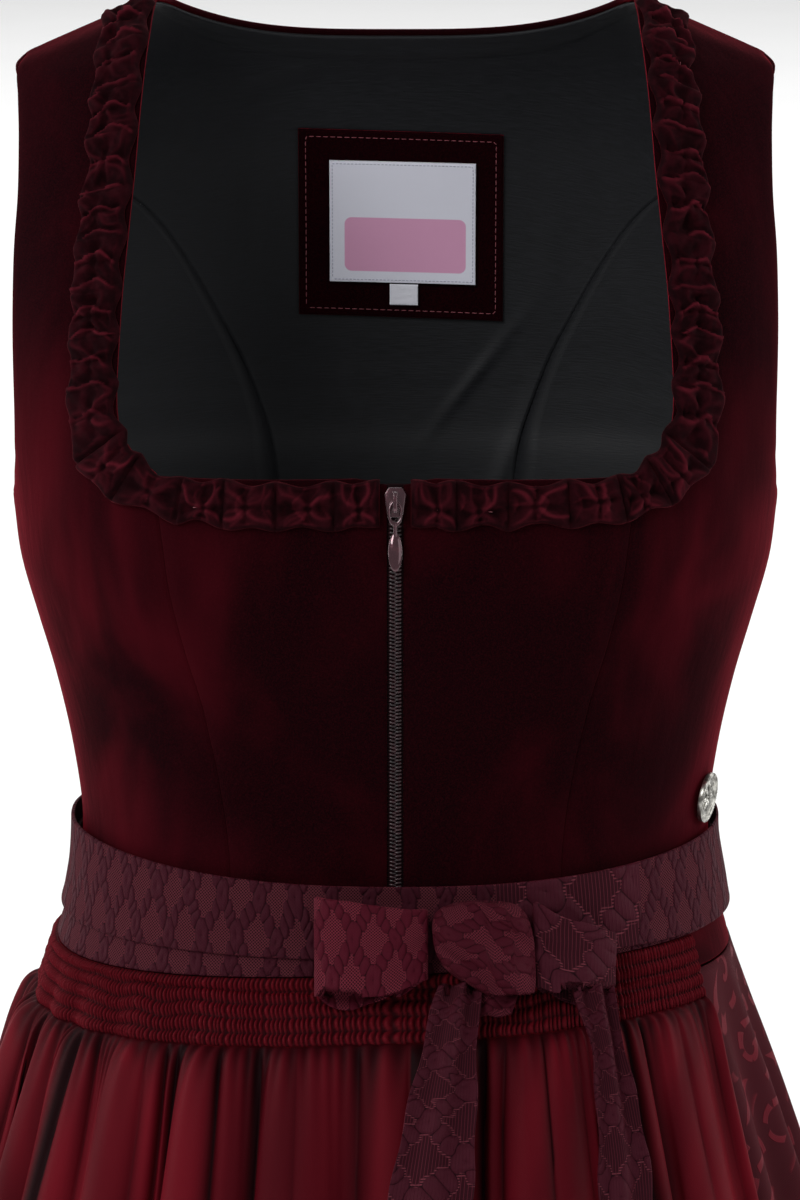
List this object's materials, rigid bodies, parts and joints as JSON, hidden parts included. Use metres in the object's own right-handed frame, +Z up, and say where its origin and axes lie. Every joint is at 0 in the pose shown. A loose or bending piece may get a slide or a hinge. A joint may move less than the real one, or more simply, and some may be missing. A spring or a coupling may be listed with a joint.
{
  "type": "dirndl dress",
  "caption": "Sleeveless folk dress with lined velvet bodice, front zip, ruched square neckline, gathered skirt, smocked apron and a tied waist bow.",
  "frame": {"origin": "centre line between the shoulders, at the height of the neck ends of the shoulder seams, where the dress is carried", "axes": "+Z up, the front with the zip faces -Y, +X to the viewer's right, which is the wearer's left"},
  "size_m": [0.6207, 0.5598, 1.0393],
  "materials": {
    "velvet": "cotton velvet with a short nap, black-red",
    "lining": "matt charcoal cotton lining",
    "brocade": "jacquard skirt cloth with satin scrolls",
    "chiffon": "thin satin-faced apron cloth",
    "jacquard": "raised lozenge jacquard, plum",
    "zip": "woven zip tape with a plastic coil chain",
    "zip_metal": "glossy plum enamel",
    "label": "woven satin",
    "badge": "oxidised silver colour"
  },
  "bodies": {
    "dress": {"centre_front_right_velvet": "velvet", "centre_front_left_velvet": "velvet", "side_front_right_velvet": "velvet", "side_front_left_velvet": "velvet", "side_back_right_velvet": "velvet", "side_back_left_velvet": "velvet", "centre_back_velvet": "velvet", "centre_front_right_lining": "lining", "centre_front_left_lining": "lining", "side_front_right_lining": "lining", "side_front_left_lining": "lining", "side_back_right_lining": "lining", "side_back_left_lining": "lining", "centre_back_lining": "lining", "zip_tape": "zip", "zip_slider": "zip_metal", "neck_trim_right": "velvet", "neck_trim_left": "velvet", "label_patch": "velvet", "label": "label", "size_tab": "label", "coin_badge": "badge", "apron_waistband": "jacquard", "tie": "jacquard", "bow_knot": "jacquard", "bow_loop_left": "jacquard", "bow_loop_right": "jacquard", "tail_left": "jacquard", "tail_right": "jacquard", "skirt_front": "brocade", "skirt_back": "brocade", "apron_yoke": "chiffon", "apron_skirt": "chiffon"},
    "pull_tab": {"zip_pull": "zip_metal"}
  },
  "joints": [
    {"name": "pull_turn", "type": "hinge", "parent": "dress", "child": "pull_tab", "pos_m": [0, -0.10935, -0.186], "axis": [-1, 0, 0], "range_deg": [0, 150]}
  ]
}
